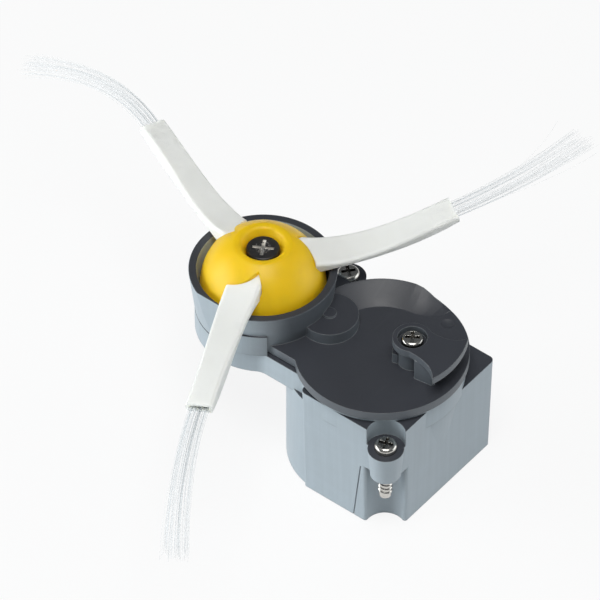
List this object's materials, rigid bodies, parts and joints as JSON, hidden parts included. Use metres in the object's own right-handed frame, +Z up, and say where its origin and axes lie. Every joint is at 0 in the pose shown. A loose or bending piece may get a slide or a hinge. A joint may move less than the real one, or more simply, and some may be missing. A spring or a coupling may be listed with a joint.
{
  "type": "robot vacuum side brush module",
  "caption": "Side sweeping brush on its own gear motor: a domed hub with soft bristle arms turns in a ring on a moulded case that screws into the robot's underside.",
  "frame": {"origin": "middle of the motor box's flat base, the face the module stands on", "axes": "+Z up along the brush's spin axis, +X from the brush ring towards the motor box, +Y towards the back ear"},
  "size_m": [0.1412, 0.1591, 0.0566],
  "materials": {
    "case_plastic": "moulded grey plastic, fine satin",
    "contact_metal": "nickel plated strip",
    "motor_steel": "drawn plated can",
    "magnet": "sintered ferrite",
    "end_cap_plastic": "moulded",
    "bearing_brass": "sintered",
    "shaft_steel": "ground",
    "core_iron": "stacked sheet",
    "copper_wire": "enamelled wire",
    "gear_plastic": "acetal",
    "felt": "pressed felt",
    "hub_plastic": "moulded, satin gloss",
    "black_steel": "black oxide",
    "arm_rubber": "soft moulded, matt",
    "bristle": "drawn filament",
    "nickel_steel": "nickel plated"
  },
  "bodies": {
    "housing": {"lower_housing": "case_plastic", "upper_cover": "case_plastic", "base_lid": "case_plastic", "contact_plates": "contact_metal", "motor_terminals": "contact_metal", "motor_can": "motor_steel", "motor_magnets": "magnet", "motor_end_cap": "end_cap_plastic", "motor_bush": "bearing_brass", "spindle_bush": "bearing_brass", "shaft_seal": "felt", "first_axle": "shaft_steel", "second_axle": "shaft_steel", "mounting_screws": "nickel_steel", "cover_screw": "nickel_steel", "case_screw": "nickel_steel"},
    "rotor": {"motor_shaft": "shaft_steel", "armature": "core_iron", "windings": "copper_wire", "commutator": "bearing_brass", "motor_pinion": "bearing_brass"},
    "first_stage": {"first_gear": "gear_plastic"},
    "second_stage": {"second_gear": "gear_plastic"},
    "brush": {"spindle": "shaft_steel", "output_gear": "gear_plastic", "brush_hub": "hub_plastic", "brush_screw": "black_steel", "arm_sleeve_right": "arm_rubber", "arm_sleeve_left": "arm_rubber", "arm_sleeve_front": "arm_rubber", "tuft_right": "bristle", "tuft_left": "bristle", "tuft_front": "bristle"}
  },
  "joints": [
    {"name": "brush_spin", "type": "hinge", "parent": "housing", "child": "brush", "pos_m": [-0.0384, -0.0037, 0.0466], "axis": [0, 0, 1], "continuous": true},
    {"name": "second_gear_spin", "type": "hinge", "parent": "housing", "child": "second_stage", "pos_m": [-0.0202, -0.00098, 0.034], "axis": [0, 0, 1], "continuous": true},
    {"name": "first_gear_spin", "type": "hinge", "parent": "housing", "child": "first_stage", "pos_m": [-0.00992, 0.00823, 0.034], "axis": [0, 0, 1], "continuous": true},
    {"name": "rotor_spin", "type": "hinge", "parent": "housing", "child": "rotor", "pos_m": [0, 0.007, 0.03], "axis": [0, 0, 1], "continuous": true}
  ],
  "couplings": [
    {"joint": "second_gear_spin", "follows": "brush_spin", "ratio": -2.8333},
    {"joint": "first_gear_spin", "follows": "brush_spin", "ratio": 8.0278},
    {"joint": "rotor_spin", "follows": "brush_spin", "ratio": -24.083}
  ]
}
